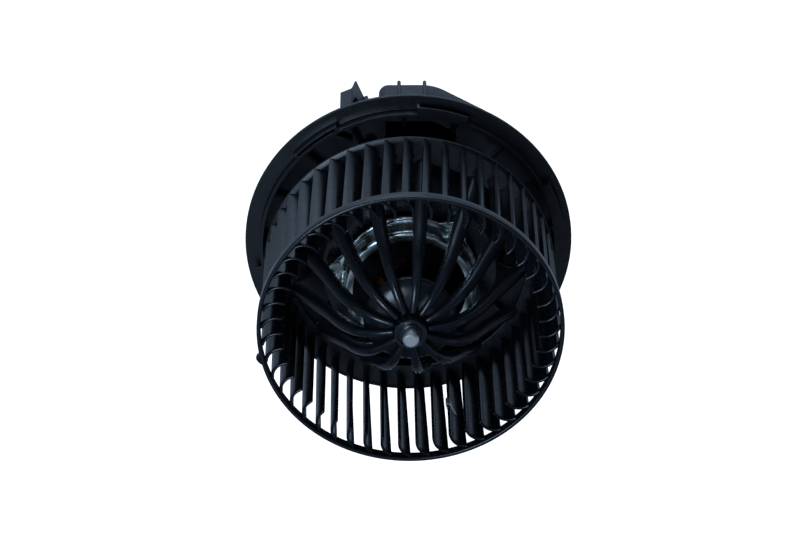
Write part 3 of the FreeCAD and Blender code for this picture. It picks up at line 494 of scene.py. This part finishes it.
# a blade seen from the inlet: straight from its round inner edge, then bent round an arc
BLADE_COUNT = 47
BLADE_START = 1.0
BLADE_INNER = 62.4
STRAIGHT_FRONT, STRAIGHT_BACK = 2.6, 3.5
BLADE_CURVE = 7.4
BLADE_HALF = 0.75
BLADE_FRONT, BLADE_BACK = -89.5, -23.6
BEND_FRONT, BEND_BACK = math.radians(80), math.radians(63)
# radius and y of a root fillet's sections
FILLETS = ((1.5, -25.2), (1.42, -25.7), (1.15, -26.1), (0.85, -26.4))

# a dome rib: half its width at the boss, how much it widens and flares outwards, then its crest and back
# edge as (y, radius), and the crest's drop at the boss
RIB_COUNT = 13
RIB_START = 7.0
RIB_STEPS = 40
RIB_HALF, RIB_WIDENING, RIB_FLARE = 1.25, 2.75, 0.9
RIB_SLIM_RADIUS, RIB_WIDENING_REACH = 7.0, 45.0
RIB_CREST = ((-87.0, 9.5), (-85.2, 18.0), (-81.0, 26.0), (-74.2, 33.0), (-65.3, 39.0), (-55.0, 44.5),
             (-45.0, 50.4), (-35.0, 56.2), (-25.6, 61.8))
RIB_END = ((-85.4, 8.3), (-86.4, 8.5), (-86.95, 8.95))
RIB_BACK = ((-80.6, 7.9), (-79.4, 16.0), (-76.2, 23.0), (-70.2, 29.0), (-61.6, 34.8), (-51.8, 40.0),
            (-42.0, 45.8), (-32.0, 51.4), (-24.2, 56.6))

RING_INNER, RING_OUTER = 73.0, 75.0
RING_FRONT, RING_BACK = -90.4, -84.9
RING_SEGMENTS, BOSS_SEGMENTS = 282, 96
DISC_INNER, DISC_OUTER = 59.0, 73.4
DISC_FRONT, DISC_BACK = -25.3, -23.3
SHAFT_RADIUS, BOSS_RADIUS = 4.0, 8.1
BOSS_FRONT, BOSS_BACK = -92.0, -66.0
# the round cap under the ribs, a quarter ellipse turned about the shaft: the radius it starts at and the y
# of its rim, then reach and height of its outer and its inner face
CAP_START, CAP_RIM = 7.0, -75.6
CAP_OUTSIDE, CAP_INSIDE = (16.2, 6.7), (14.8, 5.1)
KNOB_START, KNOB_SPAN, KNOB_HEIGHT = -104.1, 5.0, 2.2


def along_blade(depth, front, back):
    """A blade's measure at one depth, from its values at the two ends."""
    return front + (back - front) * (depth - BLADE_FRONT) / (BLADE_BACK - BLADE_FRONT)


def blade_straight(depth):
    return along_blade(depth, STRAIGHT_FRONT, STRAIGHT_BACK)


def on_blade(depth, travelled, off):
    """(tangential, radial) of a point, by its way along the blade from the inner edge and its offset."""
    straight = blade_straight(depth)
    if travelled <= straight:
        return off, BLADE_INNER + travelled
    angle = (travelled - straight) / BLADE_CURVE
    return (-BLADE_CURVE + (BLADE_CURVE + off) * math.cos(angle),
            BLADE_INNER + straight + (BLADE_CURVE + off) * math.sin(angle))


def blade_angle(index):
    return math.radians(BLADE_START + 360.0 * index / BLADE_COUNT)


def blade_to_space(across, up, depth, angle):
    """Turns a point drawn on the blade or rib at twelve o'clock to its own angle."""
    return (up * math.sin(angle) + across * math.cos(angle), depth,
            up * math.cos(angle) - across * math.sin(angle))


def blade_section(depth, angle, thin, inset):
    """A blade's outline at one depth: a strip of one thickness with a round inner edge."""
    steps = 12
    length = blade_straight(depth) + BLADE_CURVE * along_blade(depth, BEND_FRONT, BEND_BACK)
    half = BLADE_HALF * thin
    places = [inset + half + (length - inset - half) * step / steps for step in range(steps + 1)]
    outline = [on_blade(depth, place, half) for place in places]
    outline += [on_blade(depth, place, -half) for place in reversed(places)]
    outline += [on_blade(depth, inset + half - half * math.cos(turn), half * math.sin(turn))
                for turn in (-0.9, -0.45, 0.0, 0.45, 0.9)]
    return [blade_to_space(across, up, depth, angle) for across, up in outline]


def blade(index):
    """A blade from its rounded front end to the back disc."""
    stations = [(BLADE_FRONT + BLADE_HALF * (1 - math.cos(turn)), math.sin(turn),
                 BLADE_HALF * (1 - math.sin(turn)))
                for turn in (0.12, 0.5, 0.9, 1.25, math.pi / 2)]
    stations += [(BLADE_FRONT + (BLADE_BACK - BLADE_FRONT) * share, 1.0, 0.0)
                 for share in (0.05, 0.2, 0.4, 0.6, 0.8, 1.0)]
    return loft([blade_section(depth, blade_angle(index), thin, inset) for depth, thin, inset in stations])


def root_fillet(index):
    """The small swelling where a blade's inner edge runs into the back disc."""
    angle = blade_angle(index)
    middle = BLADE_INNER + BLADE_HALF
    sections = []
    for size, depth in FILLETS:
        sections.append([blade_to_space(size * math.cos(turn), middle + size * math.sin(turn), depth, angle)
                         for turn in np.linspace(0, 2 * math.pi, 14, endpoint=False)])
    return loft(sections)


def rib(index):
    """A dome rib with a round crest, which widens outwards and flares into the back disc."""
    angle = math.radians(RIB_START + 360.0 * index / RIB_COUNT)
    crest = np.vstack([RIB_END, smooth_line(RIB_CREST, RIB_STEPS)])
    back = np.vstack([[(RIB_BACK[0][0], RIB_BACK[0][1] - 0.1 * step) for step in (3, 2, 1)],
                      smooth_line(RIB_BACK, RIB_STEPS)])
    stations = len(crest)
    sections = []
    for step in range(stations):
        top, foot = crest[step], back[step]
        inward = (foot - top) / np.linalg.norm(foot - top)
        flare = max(0.0, (step / (stations - 1) - 0.9) * 10)
        widening = max(0.0, min(1.0, (top[1] - RIB_SLIM_RADIUS) / RIB_WIDENING_REACH))
        half = RIB_HALF + RIB_WIDENING * widening + RIB_FLARE * flare ** 2
        outline = [(-half * 0.92, foot - inward * 0.25), (-half, foot - inward * 0.6)]
        for turn in np.linspace(0, math.pi, 11):
            outline.append((-half * math.cos(turn), top + inward * half * 0.75 * (1 - math.sin(turn))))
        outline += [(half, foot - inward * 0.6), (half * 0.92, foot - inward * 0.25), (0.0, foot)]
        sections.append([blade_to_space(across, place[1], place[0], angle) for across, place in outline])
    return loft(sections)


def gate_knob():
    """The moulding gate's stub on the front ring: a low swelling that fades into the ring at both ends."""
    sections = []
    for step in range(13):
        share = step / 12
        height = KNOB_HEIGHT * math.sin(math.pi * share) ** 0.7 if 0 < share < 1 else 0.0
        angle = math.radians(KNOB_START + KNOB_SPAN * share)
        outline = rounded([(RING_OUTER - 1, -89.9), (RING_OUTER + height * 0.7, -89.7),
                           (RING_OUTER + height, -88.6), (RING_OUTER + height, -87.4),
                           (RING_OUTER - 1, -85.6)], [0.1, 0.5, 0.5, 0.6, 0.1])
        sections.append([around_shaft(radius, depth, angle) for radius, depth in outline])
    return loft(sections)


def cap_arc(size):
    """One face of the cap as (radius, y) points, from the boss to the rim."""
    reach, height = size
    return [(CAP_START + reach * math.sin(bend), CAP_RIM - height * math.cos(bend))
            for bend in np.linspace(0, math.pi / 2, 18)]


def make_wheel():
    """The moulded wheel: front ring, blades, back disc, dome ribs, cap, boss and gate knob."""
    ring = turned(rounded([(RING_INNER, RING_FRONT), (RING_OUTER, RING_FRONT), (RING_OUTER, RING_BACK),
                           (RING_INNER, RING_BACK)], [0.7, 0.7, 0.4, 0.4]), RING_SEGMENTS)
    seam = turned(rounded([(74.4, -87.0), (RING_OUTER, -87.0), (RING_OUTER, -86.6), (74.4, -86.6)], 0.1, 2),
                  RING_SEGMENTS)
    disc = turned(rounded([(DISC_INNER, DISC_FRONT), (71.0, DISC_FRONT), (DISC_OUTER, -24.8),
                           (DISC_OUTER, -23.8), (71.0, DISC_BACK), (DISC_INNER, DISC_BACK)],
                          [0.5, 2, 0.3, 0.3, 2, 0.5]), RING_SEGMENTS)
    boss = turned(rounded([(SHAFT_RADIUS, -91.8), (5.5, -91.8), (5.5, -91.0), (6.6, -91.0),
                           (6.6, BOSS_FRONT), (7.6, BOSS_FRONT), (BOSS_RADIUS, -91.5),
                           (BOSS_RADIUS, -74.5), (6.6, -74.0), (6.6, BOSS_BACK), (SHAFT_RADIUS, BOSS_BACK)],
                          [0.1, 0.3, 0.3, 0.2, 0.2, 0.3, 0.3, 0.3, 0.2, 0.3, 0.1], 4), BOSS_SEGMENTS)
    cap = turned(cap_arc(CAP_OUTSIDE) + cap_arc(CAP_INSIDE)[::-1], BOSS_SEGMENTS)
    blades = [blade(index) for index in range(BLADE_COUNT)]
    fillets = [root_fillet(index) for index in range(BLADE_COUNT)]
    ribs = [rib(index) for index in range(RIB_COUNT)]
    add_piece("wheel_moulding", [ring, seam, disc, boss, cap, gate_knob()] + blades + fillets + ribs,
              "rotor", "wheel_plastic", ("blower_wheel",), 40.0)


# ---------------------------------------------------------------- balance clip

CLIP_BLADE = 21
CLIP_SHEET = 0.5
CLIP_LONG, CLIP_SHORT, CLIP_BEND = 7.6, 3.0, 0.4
CLIP_FOLD = 1.2075
CLIP_TAPER, CLIP_EDGE = 0.66, 0.08


def make_clip():
    """A steel strip folded over a blade's inner edge, with one long tapered leg and one short one."""
    angle = blade_angle(CLIP_BLADE)
    low_corner, high_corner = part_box("balance_clip")
    front, back = low_corner[1] / MM, high_corner[1] / MM
    middle, full_width = (front + back) / 2, back - front
    gap = BLADE_HALF + 0.08
    # each station: way along the blade, offset from its middle and share of the full width
    long = [(place, -gap - 0.12 * math.sin(math.pi * place / CLIP_LONG),
             1.0 - CLIP_TAPER * (place / CLIP_LONG) ** 1.3)
            for place in np.linspace(CLIP_LONG, CLIP_BEND, 13)]
    fold = [(-CLIP_FOLD * math.sin(turn), -math.cos(turn) * (gap + 0.22), 1.0)
            for turn in np.linspace(0.15, math.pi - 0.15, 11)]
    short = [(place, gap + 0.04 * place, 1.0 - 0.12 * place)
             for place in np.linspace(CLIP_BEND, CLIP_SHORT, 5)]
    stations = long + fold + short
    centres = []
    for place, off, width in stations:
        if place >= 0:
            across, up = on_blade(middle, place, off)
        else:
            across, up = off, BLADE_INNER + place
        centres.append((np.array((across, up)), width))
    sections = []
    for index, (centre, width) in enumerate(centres):
        before = centres[max(0, index - 1)][0]
        after = centres[min(len(centres) - 1, index + 1)][0]
        along = (after - before) / np.linalg.norm(after - before)
        normal = np.array((-along[1], along[0])) * CLIP_SHEET / 2
        low, high = front, front + full_width * width
        corners = [(centre - normal, low), (centre - normal, high), (centre + normal, high),
                   (centre + normal, low)]
        sections.append([blade_to_space(place[0], place[1], depth, angle) for place, depth in corners])
    piece = add_piece("balance_clip_strip", [loft(sections)], "rotor", "spring_steel", ("balance_clip",),
                      40.0)
    bevel_edges(piece, CLIP_EDGE)


# ---------------------------------------------------------------- motor can and its mounting ring

CAN_MOUTH, CAN_INNER, CAN_OUTER = 28.3, 31.8, 33.2
CAN_FRONT, CAN_BACK, CAN_SHEET = -49.0, 26.0, 1.4
# each ear is full size over a few degrees and falls away over the slope's degrees on both sides
EAR_ANGLES = (40.0, 160.0, 280.0)
EAR_HALF_FLAT, EAR_HALF_SLOPE, EAR_REACH = 2.5, 12.5, 5.3
RIM_INNER, RIM_FILLET_END, RIM_EDGE = 33.25, 34.65, 34.7
RIM_FACE, RIM_BACK = -36.9, -35.4


def make_can():
    """The drawn can: its side, the round shoulder and the lip of its front opening."""
    wall = rounded([(CAN_MOUTH, CAN_FRONT), (CAN_OUTER, CAN_FRONT), (CAN_OUTER, CAN_BACK),
                    (CAN_INNER, CAN_BACK), (CAN_INNER, CAN_FRONT + CAN_SHEET),
                    (CAN_MOUTH, CAN_FRONT + CAN_SHEET)], [0.35, 3.9, 0.3, 0.3, 2.5, 0.35], 10)
    add_piece("motor_can_shell", [turned(wall, 192)], "housing", "zinc_steel", ("motor_can",), 50.0)


def make_mounting_ring():
    """The stamped ring on the can: a hollow fillet into the can's side and three three-cornered ears."""
    sections = []
    for angle in np.linspace(0, 360, 360, endpoint=False):
        off = min(abs((angle - ear + 180) % 360 - 180) for ear in EAR_ANGLES)
        reach = max(0.0, 1.0 - max(0.0, off - EAR_HALF_FLAT) / EAR_HALF_SLOPE)
        lobe = reach ** 1.5 * (3 - 2 * reach) ** 0.5
        outer = RIM_EDGE + EAR_REACH * lobe
        lip = 0.9 * lobe
        well = 0.35 * lobe
        fillet = [(RIM_INNER + 1.4 * (1 - math.cos(turn)), -37.0 - 2.1 * (1 - math.sin(turn)))
                  for turn in np.linspace(0.15, math.pi / 2, 6)]
        outline = [(RIM_INNER, RIM_BACK), (RIM_INNER, -38.9)] + fillet
        outline += [(RIM_FILLET_END + (outer - RIM_FILLET_END) * share,
                     RIM_FACE - 0.05 + well * math.sin(math.pi * share)) for share in (0.35, 0.65)]
        outline += [(outer - 0.45, RIM_FACE - lip * 0.5), (outer - 0.2, RIM_FACE - 0.2 - lip),
                    (outer, RIM_FACE - lip), (outer, -36.2 - lip * 0.6), (outer - 0.15, RIM_BACK)]
        sections.append([around_shaft(radius, depth, math.radians(angle)) for radius, depth in outline])
    add_piece("motor_ear_ring", [loft(sections, closed=True)], "housing", "zinc_steel",
              ("motor_mounting_ring",), 50.0)


# ---------------------------------------------------------------- hood ribs

HOOD_TOP, HOOD_FRONT, HOOD_BACK = 69.5, 14.2, 45.0
HOOD_RIB_HALF, HOOD_RIB_HEIGHT = 0.95, 1.75
# name, place across the hood and how far the foot sinks below its top
HOOD_RIBS = (("left", -4.5, 0.5), ("right", 8.7, 0.9))


def make_hood_rib(name, across, sunk):
    """A round-topped stiffener along the hood, over the plain rib of the CAD cover."""
    sections = []
    foot = HOOD_TOP - sunk
    for depth, size in ((HOOD_FRONT, 0.6), (HOOD_FRONT + 0.25, 0.85), (HOOD_FRONT + 0.8, 1.0),
                        (HOOD_BACK - 0.8, 1.0), (HOOD_BACK - 0.25, 0.85), (HOOD_BACK, 0.6)):
        half = HOOD_RIB_HALF * size
        crown = HOOD_TOP + HOOD_RIB_HEIGHT - HOOD_RIB_HALF * (2 - size)
        outline = [(across + half, depth, foot)]
        outline += [(across + half * math.cos(turn), depth, crown + half * math.sin(turn))
                    for turn in np.linspace(0, math.pi, 9)]
        outline.append((across - half, depth, foot))
        sections.append(outline)
    add_piece("hood_rib_" + name, [loft(sections)], "housing", "cover_plastic")


# ---------------------------------------------------------------- brush springs

# wire thickness and turns, then how much of a turn each closed end takes and how far it rises
SPRING_WIRE = 0.6
SPRING_TURNS = 5.5
END_TURN, END_RISE = 0.9, 0.55


def make_brush_spring(name, side):
    """A coil spring with closed end turns, wound to fill its CAD node's box."""
    node = "brush_spring_" + name
    low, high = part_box(node)
    depth = (low[1] + high[1]) / 2 / MM
    radius = (high[0] - low[0]) / 2 / MM - SPRING_WIRE / 2
    ends = sorted((abs(low[2]) / MM, abs(high[2]) / MM))
    start, stop = ends[0] + SPRING_WIRE / 2, ends[1] - SPRING_WIRE / 2
    path = []
    for turn in np.linspace(0, SPRING_TURNS, 110):
        height = np.interp(turn, [0, END_TURN, SPRING_TURNS - END_TURN, SPRING_TURNS],
                           [start, start + END_RISE, stop - END_RISE, stop])
        angle = 2 * math.pi * turn
        path.append((radius * math.cos(angle), depth + radius * math.sin(angle), side * height))
    piece = add_piece("brush_coil_" + name, [tube(path, SPRING_WIRE / 2)], "housing", "spring_steel", (node,))
    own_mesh(piece)


# ---------------------------------------------------------------- CAD nodes that stay

# bevel widths of the CAD nodes that show
BEVELS = {"mounting_flange": 0.2, "rear_cover": 0.25, "connector_shell": 0.2, "front_bearing_carrier": 0.2,
          "motor_shaft": 0.1, "motor_screws": 0.2}
SEAM_GAP = 0.005


def dress_nodes():
    """Gives each CAD node its slot's material, and those that show small bevels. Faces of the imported
    meshes come unjoined, so a weld closes their seams first."""
    slots = {part["node"]: part["material_slot"] for part in frame["record"]["subparts"]}
    for name, piece in frame["nodes"].items():
        for place in piece.material_slots:
            place.material = MATERIALS[slots[name]]
        if name in BEVELS:
            weld = piece.modifiers.new("seam_weld", "WELD")
            weld.merge_threshold = SEAM_GAP * MM
            bevel_edges(piece, BEVELS[name], harden=True)


make_materials()
place_camera()
for settings in SOFTBOXES:
    softbox(*settings)
make_world()
lay_floor()
make_wheel()
make_clip()
make_can()
make_mounting_ring()
for settings in HOOD_RIBS:
    make_hood_rib(*settings)
make_brush_spring("upper", 1)
make_brush_spring("lower", -1)
dress_nodes()
